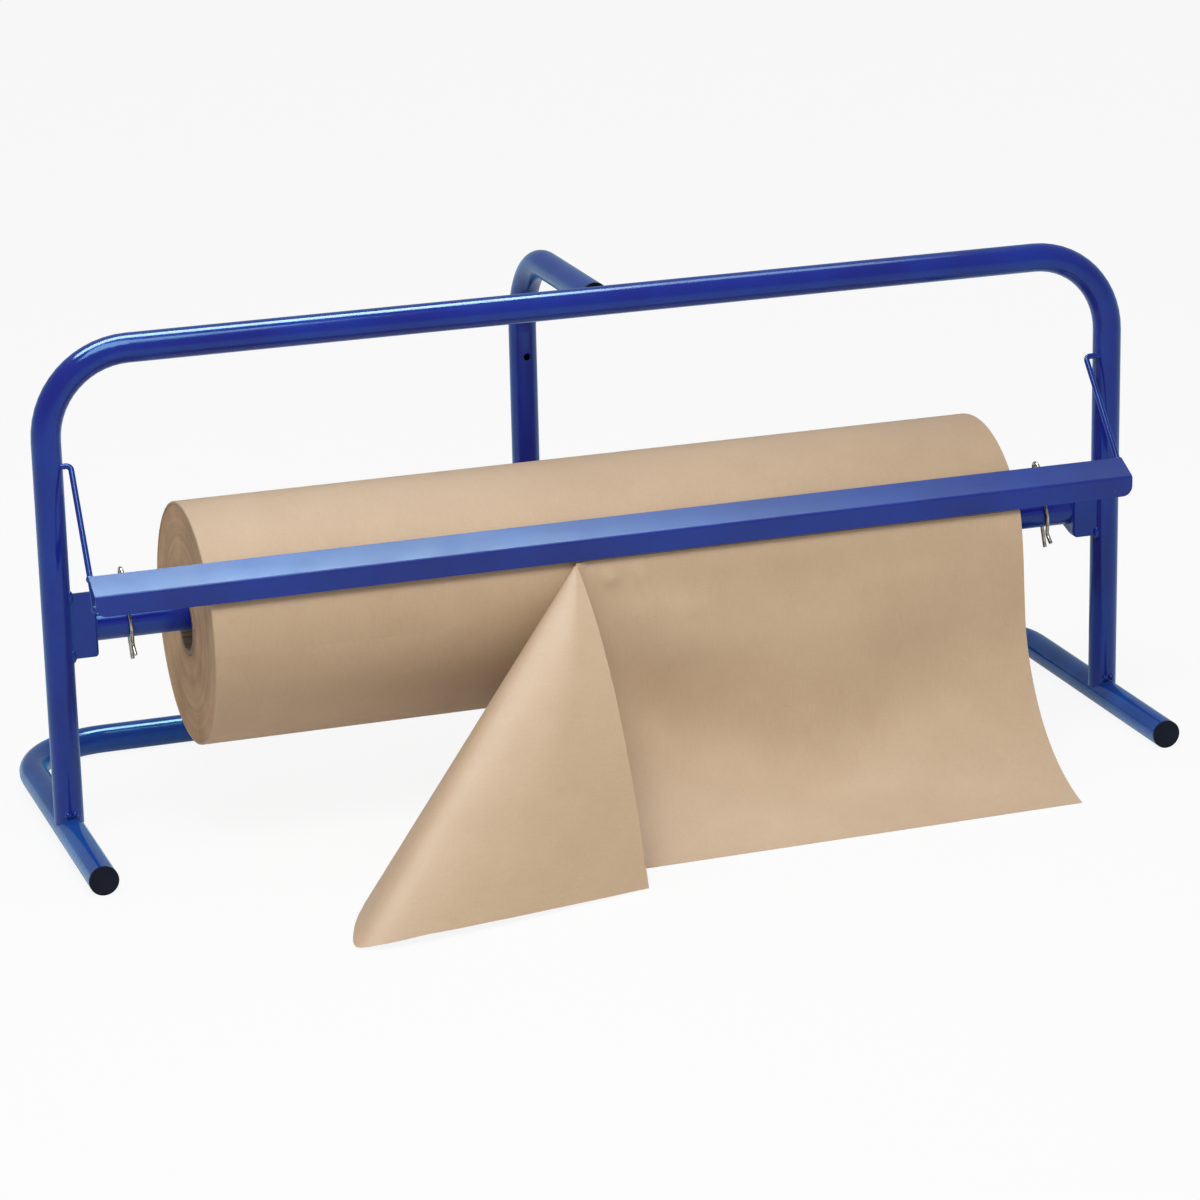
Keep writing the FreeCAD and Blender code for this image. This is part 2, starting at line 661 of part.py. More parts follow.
def right_section():
    """The sheet's right edge, which leans in towards its foot."""
    top = Vec(ROLL_RIGHT_X, 0, sheet_curve(ROLL_RIGHT_X, SHEET_FOOT_Y, 0)[0].firstVertex().Point.z)
    return hanging_section(ROLL_RIGHT_X, SHEET_FOOT_Y).rotate(top, Vec(0, 1, 0), SHEET_EDGE_LEAN)


def straight_edges(start, end, shares):
    """A straight line in three edges that end at the given shares of it."""
    points = [start + (end - start) * share for share in [0] + shares + [1]]
    return [Part.LineSegment(a, b).toShape() for a, b in zip(points, points[1:])]


def torn_curve(offset):
    return sheet_curve(SHEET_TORN_X, SHEET_TORN_FOOT_Y, offset)


def fold_ends():
    """Middle of the soft fold at its top, and where it meets the table."""
    top = torn_curve(0)[0].firstVertex().Point + Vec(-FOLD_TOP_INSET, -2 * FOLD_TOP_R, 0)
    return top, Vec(FOLD_X, FOLD_Y, FLOOR_GAP)


def straight_section(top, foot, inward):
    """Outline of the sheet's thickness along a straight line of its outer side."""
    curve = torn_curve(0)
    total = sum(edge.Length for edge in curve)
    shares = [curve[0].Length / total, (curve[0].Length + curve[1].Length) / total]
    step = inward * SHEET_T
    outer = straight_edges(top, foot, shares)
    return sheet_section(straight_edges(top + step, foot + step, shares), outer)


def fold_sections():
    """Outlines round the soft fold, from the sheet behind it to the flap in front."""
    top, foot = fold_ends()
    along = (foot - top).normalize()
    torn_foot = torn_curve(0)[2].lastVertex().Point
    behind = (torn_foot - top).cross(along).normalize()
    if behind.y < 0:
        behind = behind * -1
    outward = behind.cross(along).normalize()
    if outward.x > 0:
        outward = outward * -1
    sections = []
    for turn in range(FOLD_TURNS + 1):
        angle = math.pi * turn / FOLD_TURNS
        way = behind * math.cos(angle) + outward * math.sin(angle)
        start = top + way * FOLD_TOP_R
        end = foot + way * FOLD_R
        down = (end - start).normalize()
        on_table = start + down * ((start.z - FLOOR_GAP + SHEET_T) / -down.z)
        sections.append(straight_section(start, on_table, way * -1))
    return sections


def flap_section():
    """Outline of the flap's torn edge."""
    top, foot = fold_ends()
    torn_foot = Vec(FLAP_FOOT_X, FLAP_FOOT_Y, FLOOR_GAP)
    start = top + Vec(FOLD_TOP_R, -FOLD_TOP_R, 0)
    return straight_section(start, torn_foot, Vec(0, 1, 0))


def paper_sheet():
    """The sheet from the roll's right end round its soft fold to the torn edge of the corner in front."""
    torn = sheet_section(torn_curve(SHEET_T), torn_curve(0))
    sections = [right_section(), torn] + fold_sections() + [flap_section()]
    sheet = Part.makeLoft(sections, True, True)
    low = Vec(-PORTAL_WIDTH, -PORTAL_WIDTH, FLOOR_GAP - TUBE_D)
    below = Part.makeBox(2 * PORTAL_WIDTH, 2 * PORTAL_WIDTH, TUBE_D, low)
    return sheet.cut(below)


# ---------------------------------------------------------------- files
def main():
    os.makedirs("parts", exist_ok=True)
    export(portal_frame(), "portal_frame")
    export(base_frame(), "base_frame")
    export(rear_stay(), "rear_stay")
    export(foot_plug(-1), "foot_plug_left")
    export(foot_plug(1), "foot_plug_right")
    export(stay_plug(), "stay_plug")
    export(mirrored(right_saddle()), "saddle_left")
    export(right_saddle(), "saddle_right")
    export(post_beads(), "post_welds")
    export(stay_beads(), "stay_welds")
    export(saddle_beads(), "saddle_welds")
    export(cutter_bar(), "cutter_bar")
    export(wire_arm(-1), "arm_left")
    export(wire_arm(1), "arm_right")
    export(bar_beads(), "bar_welds")
    export(roll_shaft(), "roll_shaft")
    export(spring_clip(-1, CLIP_LEAN_LEFT), "clip_left")
    export(spring_clip(1, CLIP_LEAN_RIGHT), "clip_right")
    export(roll_core(), "roll_core")
    export(paper_roll(), "paper_roll")
    export(paper_sheet(), "paper_sheet")


main()
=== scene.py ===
import math
import bpy
from mathutils import Euler, Matrix, Vector, noise


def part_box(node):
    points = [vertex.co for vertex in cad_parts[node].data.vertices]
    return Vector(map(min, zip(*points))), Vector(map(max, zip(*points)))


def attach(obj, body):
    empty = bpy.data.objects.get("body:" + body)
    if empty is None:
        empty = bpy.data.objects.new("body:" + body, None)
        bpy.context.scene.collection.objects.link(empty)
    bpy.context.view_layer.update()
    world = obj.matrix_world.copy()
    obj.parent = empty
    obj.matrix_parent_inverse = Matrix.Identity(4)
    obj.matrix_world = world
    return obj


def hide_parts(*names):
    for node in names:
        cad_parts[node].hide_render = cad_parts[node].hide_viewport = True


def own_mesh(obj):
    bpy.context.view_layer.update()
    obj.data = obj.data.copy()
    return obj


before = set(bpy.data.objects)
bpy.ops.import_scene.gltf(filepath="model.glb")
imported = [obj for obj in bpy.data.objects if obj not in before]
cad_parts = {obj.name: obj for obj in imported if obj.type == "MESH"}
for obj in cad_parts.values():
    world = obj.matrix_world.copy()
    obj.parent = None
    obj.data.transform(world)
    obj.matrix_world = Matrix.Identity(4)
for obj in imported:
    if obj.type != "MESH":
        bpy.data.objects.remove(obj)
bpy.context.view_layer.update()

# Counter-top paper dispenser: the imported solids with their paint, and the paper modelled over them.
# Metres. +X to the right along the roll, +Y to the back, +Z up. Colours end in an alpha of 1.

MM = 0.001

# ---------------------------------------------------------------- places taken from the solids
ROLL_LOW, ROLL_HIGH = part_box("paper_roll")
ROLL_R = (ROLL_HIGH.z - ROLL_LOW.z) / 2
ROLL_Y = (ROLL_HIGH.y + ROLL_LOW.y) / 2
ROLL_Z = (ROLL_HIGH.z + ROLL_LOW.z) / 2
CORE_LOW, CORE_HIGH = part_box("roll_core")
CORE_R = (CORE_HIGH.z - CORE_LOW.z) / 2
TO_AXIS = (0, -ROLL_Y, -ROLL_Z)      # brings the roll's axis to the X axis


# ---------------------------------------------------------------- camera
VIEW_PLACE = (-1.12344, -3.33594, 1.24489)
VIEW_YAW = 18.577                    # degrees to the right of +Y
VIEW_PITCH = 17.175                  # degrees downwards
VIEW_ROLL = -1.286                   # degrees
VIEW_SENSOR = 36                     # millimetres across
VIEW_LENS = 127.226                  # millimetres
VIEW_NEAR, VIEW_FAR = 0.1, 60


def add_camera():
    data = bpy.data.cameras.new("view_camera")
    camera = bpy.data.objects.new("view_camera", data)
    bpy.context.scene.collection.objects.link(camera)
    yaw, pitch, roll = (math.radians(angle) for angle in (VIEW_YAW, VIEW_PITCH, VIEW_ROLL))
    turn = Euler((math.pi / 2 - pitch, 0, -yaw)).to_matrix() @ Matrix.Rotation(roll, 3, "Z")
    camera.matrix_world = Matrix.Translation(VIEW_PLACE) @ turn.to_4x4()
    data.sensor_width = VIEW_SENSOR
    data.lens = VIEW_LENS
    data.clip_start, data.clip_end = VIEW_NEAR, VIEW_FAR
    bpy.context.scene.camera = camera


# ---------------------------------------------------------------- node helpers
class Nodes:
    """Short way to write a node tree."""

    def __init__(self, tree):
        self.tree = tree

    def add(self, kind, inputs=None, **settings):
        node = self.tree.nodes.new(kind)
        for name, value in settings.items():
            setattr(node, name, value)
        for name, value in (inputs or {}).items():
            self.feed(node.inputs[name], value)
        return node

    def feed(self, socket, value):
        """Links a socket to the value if that is a socket too, and otherwise sets it."""
        if isinstance(value, bpy.types.NodeSocket):
            self.tree.links.new(value, socket)
        else:
            socket.default_value = value

    def math(self, operation, a, b=0.0, c=0.0):
        node = self.add("ShaderNodeMath", operation=operation)
        for socket, value in zip(node.inputs, (a, b, c)):
            self.feed(socket, value)
        return node.outputs[0]

    def blend(self, share, a, b):
        """Colour a where the share is 0 and colour b where it is 1."""
        node = self.add("ShaderNodeMix", data_type="RGBA", blend_type="MIX")
        self.feed(node.inputs[0], share)
        self.feed(node.inputs[6], a)
        self.feed(node.inputs[7], b)
        return node.outputs[2]

    def spread(self, value, low, high, to_low=0.0, to_high=1.0):
        """A value between low and high, stretched to a new range and cut off outside it."""
        return self.add("ShaderNodeMapRange", {
            "Value": value, "From Min": low, "From Max": high,
            "To Min": to_low, "To Max": to_high}).outputs[0]

    def noise(self, place, scale, detail=3.0, rough=0.5):
        return self.add("ShaderNodeTexNoise", {
            "Vector": place, "Scale": scale, "Detail": detail, "Roughness": rough}).outputs[0]

    def streaks(self, place, scale, turn, detail, rough=0.5):
        """Noise with its own scale on each axis, turned about Z by an angle in radians."""
        return self.noise(self.placed(place, scale, (0, 0, turn)), 1, detail, rough)

    def rings(self, radius, scale, detail, rough=0.5):
        """Noise that changes only with the radius."""
        return self.add("ShaderNodeTexNoise", {
            "W": radius, "Scale": scale, "Detail": detail, "Roughness": rough},
            noise_dimensions="1D").outputs[0]

    def placed(self, source, scale=(1, 1, 1), turn=(0, 0, 0), move=(0, 0, 0)):
        return self.add("ShaderNodeMapping", {
            "Vector": source, "Location": move, "Rotation": turn, "Scale": scale}).outputs[0]


def new_group(name, inputs, outputs):
    """A node group with named sockets: (name, kind, value) for inputs, (name, kind) for outputs."""
    tree = bpy.data.node_groups.new(name, "ShaderNodeTree")
    for label, kind, value in inputs:
        socket = tree.interface.new_socket(
            label, in_out="INPUT", socket_type="NodeSocket" + kind)
        if value is not None:
            socket.default_value = value
    for label, kind in outputs:
        tree.interface.new_socket(label, in_out="OUTPUT", socket_type="NodeSocket" + kind)
    nodes = Nodes(tree)
    return nodes, nodes.add("NodeGroupInput").outputs, nodes.add("NodeGroupOutput").inputs


def new_material(name, settings):
    """A material with a Principled shader, whose constant sockets are set here."""
    material = bpy.data.materials.new(name)
    material.use_nodes = True
    nodes = Nodes(material.node_tree)
    shader = material.node_tree.nodes["Principled BSDF"]
    for label, value in settings.items():
        shader.inputs[label].default_value = value
    return material, nodes, shader


def place_group(nodes, tree, inputs):
    node = nodes.add("ShaderNodeGroup", node_tree=tree)
    for label, value in inputs.items():
        nodes.feed(node.inputs[label], value)
    return node.outputs


def add_bump(nodes, shader, height, distance):
    bump = nodes.add("ShaderNodeBump", {"Height": height, "Distance": distance, "Strength": 1.0})
    nodes.feed(shader.inputs["Normal"], bump.outputs[0])


# ---------------------------------------------------------------- shared effects
# How fine the patterns are, in cells per metre.
FILM_CLOUD, FILM_DRIFT, FILM_RIPPLE, FILM_PEEL, FILM_SPECK = 14, 36, 90, 520, 1500
PAPER_WIDE, PAPER_CLOUD = 5, 26
FIBRE_ALONG = (900, 70, 900)
FIBRE_ACROSS = (160, 700, 160)
FIBRE_DARK = (700, 240, 700)
FIBRE_PALE = (210, 620, 210)

SPECK_BLUE = (0.12, 0.14, 0.3, 1)
DARK_FLECK = (0.22, 0.13, 0.07, 1)
PALE_FLECK = (0.86, 0.74, 0.58, 1)


def enamel_film_group():
    """Stove enamel: orange peel, cloudy thickness and a few dust specks under the film."""
    nodes, given, out = new_group("enamel_film", [
        ("Place", "Vector", None), ("Deep", "Color", (0, 0, 0.2, 1)),
        ("Bright", "Color", (0, 0.1, 0.4, 1)), ("Gloss", "Float", 0.25)],
        [("Color", "Color"), ("Roughness", "Float"), ("Height", "Float")])
    place = given["Place"]
    cloud = nodes.noise(place, FILM_CLOUD, 3)
    peel = nodes.noise(place, FILM_PEEL, 2)
    ripple = nodes.noise(place, FILM_RIPPLE, 2)
    speck = nodes.spread(nodes.noise(place, FILM_SPECK, 1), 0.79, 0.82)
    film = nodes.blend(nodes.spread(cloud, 0.38, 0.66), given["Deep"], given["Bright"])
    speck_share = nodes.math("MULTIPLY", speck, 0.35)
    nodes.feed(out["Color"], nodes.blend(speck_share, film, SPECK_BLUE))
    drift = nodes.spread(nodes.noise(place, FILM_DRIFT, 4), 0.3, 0.7, -0.03, 0.05)
    nodes.feed(out["Roughness"], nodes.math("ADD", given["Gloss"], drift))
    rough = nodes.math("MULTIPLY_ADD", ripple, 1.6, nodes.math("MULTIPLY", peel, 0.5))
    nodes.feed(out["Height"], nodes.math("MULTIPLY_ADD", speck, 0.3, rough))
    return nodes.tree


def kraft_group():
    """Brown wrapping paper: fibres along the machine direction, flecks, clouds, faint waves."""
    nodes, given, out = new_group("kraft_fibres", [
        ("Place", "Vector", None), ("Paper", "Color", (0.6, 0.45, 0.3, 1)),
        ("Shade", "Color", (0.5, 0.36, 0.23, 1))],
        [("Color", "Color"), ("Roughness", "Float"), ("Height", "Float")])
    place = given["Place"]
    along = nodes.streaks(place, FIBRE_ALONG, 0, 4, 0.6)
    across = nodes.streaks(place, FIBRE_ACROSS, 0.5, 3, 0.6)
    cloud = nodes.noise(place, PAPER_CLOUD, 4, 0.6)
    wide = nodes.noise(place, PAPER_WIDE, 2)
    dark = nodes.spread(nodes.streaks(place, FIBRE_DARK, 0.9, 2), 0.73, 0.79)
    pale = nodes.spread(nodes.streaks(place, FIBRE_PALE, -0.4, 2), 0.72, 0.8)
    fibres = nodes.math("MULTIPLY_ADD", along, 0.3, nodes.math("MULTIPLY", across, 0.2))
    clouds = nodes.math("MULTIPLY_ADD", cloud, 0.3, nodes.math("MULTIPLY", wide, 0.3))
    mixed = nodes.math("ADD", fibres, clouds)
    base = nodes.blend(nodes.spread(mixed, 0.4, 0.7), given["Shade"], given["Paper"])
    base = nodes.blend(nodes.math("MULTIPLY", dark, 0.4), base, DARK_FLECK)
    base = nodes.blend(nodes.math("MULTIPLY", pale, 0.3), base, PALE_FLECK)
    nodes.feed(out["Color"], base)
    nodes.feed(out["Roughness"], nodes.spread(along, 0.2, 0.8, 0.54, 0.68))
    grain = nodes.math("MULTIPLY_ADD", along, 0.6, nodes.math("MULTIPLY", across, 0.4))
    nodes.feed(out["Height"], nodes.math("MULTIPLY_ADD", cloud, 0.8, grain))
    return nodes.tree


FILM = enamel_film_group()
KRAFT = kraft_group()


# ---------------------------------------------------------------- finishes
PLUG_CLOUD, PLUG_GRAIN = 60, 1400    # cells per metre
PLUG_RELIEF = 0.03 * MM
WIRE_DRAWN = (2200, 2200, 140)
WIRE_BLOOM = 240
WIRE_RELIEF = 0.03 * MM
KRAFT_RELIEF = 0.12 * MM
TURNS_FINE, TURNS_BANDS, END_SMUDGE = 900, 110, 22
TURNS_RELIEF = 0.4 * MM
PLY_WAVES = 3400.0                   # radians of the rings' wave per metre of radius
BOARD_FIBRE = (60, 420, 420)
BOARD_RELIEF = 0.3 * MM


def object_place(nodes):
    return nodes.add("ShaderNodeTexCoord").outputs["Object"]


def enamel(name, deep, bright, gloss, tint, relief):
    """Blue stove enamel: deep and bright where its film is thick and thin. The gloss is its
    roughness, the tint colours its reflections, and the relief is in millimetres."""
    material, nodes, shader = new_material(name, {
        "Specular IOR Level": 0.75, "Specular Tint": tint,
        "Sheen Weight": 0.55, "Sheen Roughness": 0.4, "Sheen Tint": (0.05, 0.55, 1.0, 1)})
    film = place_group(nodes, FILM, {
        "Place": object_place(nodes), "Deep": deep, "Bright": bright, "Gloss": gloss})
    nodes.feed(shader.inputs["Base Color"], film["Color"])
    nodes.feed(shader.inputs["Roughness"], film["Roughness"])
    add_bump(nodes, shader, film["Height"], relief * MM)
    return material


def plug_plastic():
    material, nodes, shader = new_material("plug_plastic_navy", {"Specular IOR Level": 0.2})
    place = object_place(nodes)
    cloud = nodes.noise(place, PLUG_CLOUD, 3)
    grain = nodes.noise(place, PLUG_GRAIN, 2)
    navy = nodes.blend(cloud, (0.001, 0.002, 0.008, 1), (0.004, 0.008, 0.026, 1))
    nodes.feed(shader.inputs["Base Color"], navy)
    nodes.feed(shader.inputs["Roughness"], nodes.spread(grain, 0.3, 0.7, 0.38, 0.52))
    add_bump(nodes, shader, grain, PLUG_RELIEF)
    return material


def spring_wire():
    """Bright zinc on drawn wire, a little cloudy, with fine lines along it."""
    material, nodes, shader = new_material("spring_wire_zinc", {"Metallic": 1.0})
    place = object_place(nodes)
    drawn = nodes.streaks(place, WIRE_DRAWN, 0, 3)
    bloom = nodes.spread(nodes.noise(place, WIRE_BLOOM, 4), 0.4, 0.65)
    zinc = nodes.blend(bloom, (0.3, 0.29, 0.26, 1), (0.56, 0.55, 0.51, 1))
    nodes.feed(shader.inputs["Base Color"], zinc)
    nodes.feed(shader.inputs["Roughness"], nodes.spread(drawn, 0.3, 0.7, 0.07, 0.2))
    add_bump(nodes, shader, drawn, WIRE_RELIEF)
    return material


def round_axis(nodes):
    """The place on the roll, laid out flat: along the axis, and round it."""
    place = nodes.placed(object_place(nodes), move=TO_AXIS)
    parts = nodes.add("ShaderNodeSeparateXYZ", {0: place})
    angle = nodes.math("ARCTAN2", parts.outputs["Z"], parts.outputs["Y"])
    return nodes.add("ShaderNodeCombineXYZ", {
        "X": parts.outputs["X"], "Y": nodes.math("MULTIPLY", angle, ROLL_R)}).outputs[0]


def on_flat_sheet(nodes):
    """The place on the hanging sheet before it was creased and folded."""
    return nodes.add("ShaderNodeUVMap", uv_map="flat_sheet").outputs[0]


def kraft(name, laid_out, paper, shade):
    """Kraft paper, with the function that gives its pattern's place laid out flat."""
    material, nodes, shader = new_material(name, {"Specular IOR Level": 0.5})
    kraft_look = place_group(nodes, KRAFT, {
        "Place": laid_out(nodes), "Paper": paper, "Shade": shade})
    nodes.feed(shader.inputs["Base Color"], kraft_look["Color"])
    nodes.feed(shader.inputs["Roughness"], kraft_look["Roughness"])
    add_bump(nodes, shader, kraft_look["Height"], KRAFT_RELIEF)
    return material


def from_axis(nodes):
    """Distance from the roll's axis, and the place on it, for rings round the axis."""
    place = nodes.placed(object_place(nodes), move=TO_AXIS)
    flat = nodes.add("ShaderNodeVectorMath", {0: place, 1: (0, 1, 1)}, operation="MULTIPLY")
    length = nodes.add("ShaderNodeVectorMath", {0: flat.outputs[0]}, operation="LENGTH")
    return length.outputs["Value"], place


def wound_edges():
    """End of the roll: the cut edges of its turns, with loose dark bands between tight ones."""
    material, nodes, shader = new_material("wound_edges", {
        "Specular IOR Level": 0.15, "Roughness": 0.85})
    radius, place = from_axis(nodes)
    turns = nodes.rings(radius, TURNS_FINE, 5, 0.75)
    bands = nodes.rings(radius, TURNS_BANDS, 2)
    smudge = nodes.noise(place, END_SMUDGE, 4, 0.6)
    tone = nodes.math("MULTIPLY_ADD", turns, 0.5, nodes.math("MULTIPLY", bands, 0.3))
    tone = nodes.math("MULTIPLY_ADD", smudge, 0.45, tone)
    tone = nodes.spread(tone, 0.45, 0.8)
    face = nodes.blend(tone, (0.48, 0.3, 0.17, 1), (0.83, 0.56, 0.325, 1))
    nodes.feed(shader.inputs["Base Color"], face)
    add_bump(nodes, shader, turns, TURNS_RELIEF)
    return material


def core_board():
    """Core: a board tube wound in a few plies, whose ends show light and dark rings."""
    material, nodes, shader = new_material("core_board", {
        "Specular IOR Level": 0.2, "Roughness": 0.8})
    radius, place = from_axis(nodes)
    ply = nodes.math("SINE", nodes.math("MULTIPLY", radius, PLY_WAVES))
    fibre = nodes.streaks(place, BOARD_FIBRE, 0, 3)
    tone = nodes.math("MULTIPLY_ADD", ply, 0.32, fibre)
    rings = nodes.spread(tone, 0.2, 0.8)
    board = nodes.blend(rings, (0.11, 0.065, 0.035, 1), (0.58, 0.41, 0.27, 1))
    nodes.feed(shader.inputs["Base Color"], board)
    add_bump(nodes, shader, tone, BOARD_RELIEF)
    return material


DEEP_BLUE = (0.013, 0.01, 0.235, 1)
BRIGHT_BLUE = (0.012, 0.021, 0.3, 1)
BLUE = enamel("blue_enamel", DEEP_BLUE, BRIGHT_BLUE,
              gloss=0.14, tint=(0.35, 0.75, 1.0, 1), relief=0.012)
BAR_BLUE = enamel("bar_enamel", DEEP_BLUE, BRIGHT_BLUE,
                  gloss=0.34, tint=(0.5, 0.88, 0.95, 1), relief=0.005)
# The feet have the same paint as the frame; their more azure colours are painted reflection of the
# light from above.
FOOT_BLUE_PAINTED_REFLECTION = enamel("foot_enamel_painted_reflection", (0.012, 0.028, 0.27, 1), (0.012, 0.07, 0.39, 1),
                   gloss=0.12, tint=(0.3, 0.75, 1.0, 1), relief=0.01)
PLUG = plug_plastic()
WIRE = spring_wire()
SHEET_KRAFT = kraft("sheet_kraft", on_flat_sheet,
                    paper=(0.665, 0.485, 0.315, 1), shade=(0.58, 0.405, 0.252, 1))
# The roll is the same paper as the sheet; its slightly darker colours are painted shade from the bar
# above it.
ROLL_KRAFT_PAINTED_SHADE = kraft("roll_kraft_painted_shade", round_axis,
                   paper=(0.635, 0.46, 0.295, 1), shade=(0.55, 0.38, 0.235, 1))
WOUND_EDGES = wound_edges()
CORE_BOARD = core_board()


# ---------------------------------------------------------------- modelling helpers
def set_material(piece, material):
    piece.data.materials.clear()
    piece.data.materials.append(material)


def dress_node(name, material):
    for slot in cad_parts[name].material_slots:
        slot.material = material


def finish_piece(piece, body, material):
    set_material(piece, material)
    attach(piece, body)


def apply_place(piece):
    """Puts the piece's place into its mesh, so that its object sits at the origin."""
    piece.data.transform(piece.matrix_world)
    piece.matrix_world = Matrix.Identity(4)


def start_edit(piece):
    bpy.ops.object.select_all(action="DESELECT")
    piece.select_set(True)
    bpy.context.view_layer.objects.active = piece
    bpy.ops.object.mode_set(mode="EDIT")


def end_edit():
    bpy.ops.object.mode_set(mode="OBJECT")


def smooth_under(degrees):
    """Smooth shading where faces meet at less than this angle."""
    bpy.ops.object.shade_smooth_by_angle(angle=math.radians(degrees))


SAME_POINT = 0.001 * MM              # points nearer than this are merged


def turned(name, centre, stations, segments):
    """Ring turned about the X axis: stations are (x, radius), and the last meets the first."""
    bpy.ops.object.select_all(action="DESELECT")
    x, radius = stations[0]
    bpy.ops.mesh.primitive_circle_add(
        vertices=segments, radius=radius, location=(x, centre.y, centre.z),
        rotation=(0, math.pi / 2, 0))
    piece = bpy.context.object
    piece.name = name
    apply_place(piece)
    start_edit(piece)
    bpy.ops.mesh.select_all(action="SELECT")
    for next_x, next_radius in stations[1:]:
        bpy.ops.mesh.extrude_edges_move(TRANSFORM_OT_translate={"value": (next_x - x, 0, 0)})
        share = next_radius / radius
        bpy.ops.transform.resize(
            value=(1, share, share), center_override=(next_x, centre.y, centre.z))
        x, radius = next_x, next_radius
    bpy.ops.mesh.select_all(action="SELECT")
    bpy.ops.mesh.remove_doubles(threshold=SAME_POINT)
    bpy.ops.mesh.normals_make_consistent(inside=False)
    end_edit()
    return piece


# ---------------------------------------------------------------- saddle welds
SEAM_X, SEAM_Y = 0.46832, -0.0065    # the corner between a saddle's front plate and its post
SEAM_R = 2.9 * MM
SEAM_HALF = 5.5 * MM                 # half a bead's length
SEAM_SEGMENTS, SEAM_RINGS = 24, 20
RIPPLE_RINGS = (4, 7, 10, 13, 16)    # the bead's rings that stand out as its ripples
RIPPLE_BAND = SEAM_HALF * 0.07       # how near to a ring's height its points are
RIPPLE_WIDER = 1.13
RIPPLE_SAG = 0.35 * MM


def pull_ripples(bead, centre):
    """In edit mode, widens and lowers the bead's ripple rings."""
    for ring in RIPPLE_RINGS:
        height = math.cos(math.pi * ring / SEAM_RINGS) * SEAM_HALF
        end_edit()
        for edge in bead.data.edges:
            edge.select = False
        for face in bead.data.polygons:
            face.select = False
        for point in bead.data.vertices:
            point.select = abs(point.co.z - centre.z - height) < RIPPLE_BAND
        start_edit(bead)
        bpy.ops.transform.resize(value=(RIPPLE_WIDER, RIPPLE_WIDER, 1), center_override=centre)
        bpy.ops.transform.translate(value=(0, 0, -RIPPLE_SAG))


def seam_beads():
    """Short rippled weld beads at the top and bottom of each saddle's seam with its post."""
    low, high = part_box("saddle_welds")
    centre = Vector((SEAM_X, SEAM_Y, high.z - SEAM_HALF))
    bpy.ops.object.select_all(action="DESELECT")
    bpy.ops.mesh.primitive_uv_sphere_add(
        segments=SEAM_SEGMENTS, ring_count=SEAM_RINGS, radius=SEAM_R, location=centre)
    bead = bpy.context.object
    bead.name = "seam_bead_right_top"
    apply_place(bead)
    start_edit(bead)
    bpy.ops.mesh.select_mode(type="VERT")
    bpy.ops.mesh.select_all(action="SELECT")
    bpy.ops.transform.resize(value=(1, 1, SEAM_HALF / SEAM_R), center_override=centre)
    pull_ripples(bead, centre)
    end_edit()
    bpy.ops.object.shade_smooth()
    finish_piece(bead, "frame", BLUE)
    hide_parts("saddle_welds")
    drop = Vector((0, 0, high.z - low.z - 2 * SEAM_HALF))
    across = Vector((2 * SEAM_X, 0, 0))
    for name, shift in (("right_foot", -drop), ("left_top", -across),
                        ("left_foot", -across - drop)):
        copy = bpy.data.objects.new("seam_bead_" + name, bead.data.copy())
        bpy.context.scene.collection.objects.link(copy)
        copy.data.transform(Matrix.Translation(shift))
        finish_piece(copy, "frame", BLUE)


# ---------------------------------------------------------------- paper roll
ROLL_SEGMENTS = 192
ROLL_SHADE_ANGLE = 50                # degrees
# An end of the roll, from its rim inwards: how deep its face lies, in millimetres, and where, as a
# share of the way from the core to the rim. The rim is a soft lip, and the face has shallow steps.
END_FACE = [(1.3, 1.0), (0.45, 0.9965), (0.0, 0.986), (0.05, 0.976), (0.9, 0.97), (0.7, 0.93),
            (0.5, 0.8), (0.9, 0.68), (0.6, 0.6), (0.35, 0.45), (0.7, 0.3), (0.5, 0.16),
            (0.2, 0.09), (1.1, 0.07), (1.2, 0.0)]
LIP_SHARE = 0.975                    # outside it the lip is smooth paper
END_TILT = 0.3                       # a strip whose normal points this far sideways is end face


def paper_roll():
    """The wound paper with its two ends and the bore round its core."""
    centre = Vector((0, ROLL_Y, ROLL_Z))
    width = ROLL_R - CORE_R
    left = [(ROLL_LOW.x + deep * MM, CORE_R + width * share) for deep, share in END_FACE]
    right = [(ROLL_HIGH.x - deep * MM, CORE_R + width * share) for deep, share in END_FACE]
    stations = list(reversed(left)) + right + [left[-1]]
    roll = turned("wound_paper", centre, stations, ROLL_SEGMENTS)
    smooth_under(ROLL_SHADE_ANGLE)
    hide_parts("paper_roll")
    finish_piece(roll, "roll", ROLL_KRAFT_PAINTED_SHADE)
    roll.data.materials.append(WOUND_EDGES)
    for side in roll.data.polygons:
        reach = math.hypot(side.center.y - ROLL_Y, side.center.z - ROLL_Z)
        if abs(side.normal.x) > END_TILT and reach < CORE_R + width * LIP_SHARE:
            side.material_index = 1


# ---------------------------------------------------------------- hanging sheet
SHEET_RIGHT = ROLL_HIGH.x
TEAR_X = -0.043                      # where the tear along the bar ends
TEAR_LEFT = TEAR_X - ROLL_LOW.x      # how long the tear is
SHEET_WIDTH = 0.725
SHEET_LENGTH = 0.285
SHEET_THICK = 0.3 * MM
SHEET_GAP = 0.55 * MM                # from the roll to the middle of the sheet
SHEET_FLOOR = 0.4 * MM               # height of its lower edge
SHEET_TOP = 24.0                     # degrees above the roll's front, where it begins
SHEET_LEAVE = 11.0                   # where it leaves the roll
SWEEP_Z = 0.133                      # below this height it sweeps forward
EDGE_LEAN = 2.1                      # degrees by which its right edge leans in
RIGHT_FOOT_Y = -0.2347               # its lower edge, at the right
TEAR_FOOT_Y = -0.2425                # and below the end of the tear
HANG_COLUMNS = 90
FOLD_COLUMNS = 130
ROWS = 80
SHEET_SHADE_ANGLE = 60               # degrees
APEX_MERGE = 0.02 * MM               # the rows of the folded corner meet within this at its apex

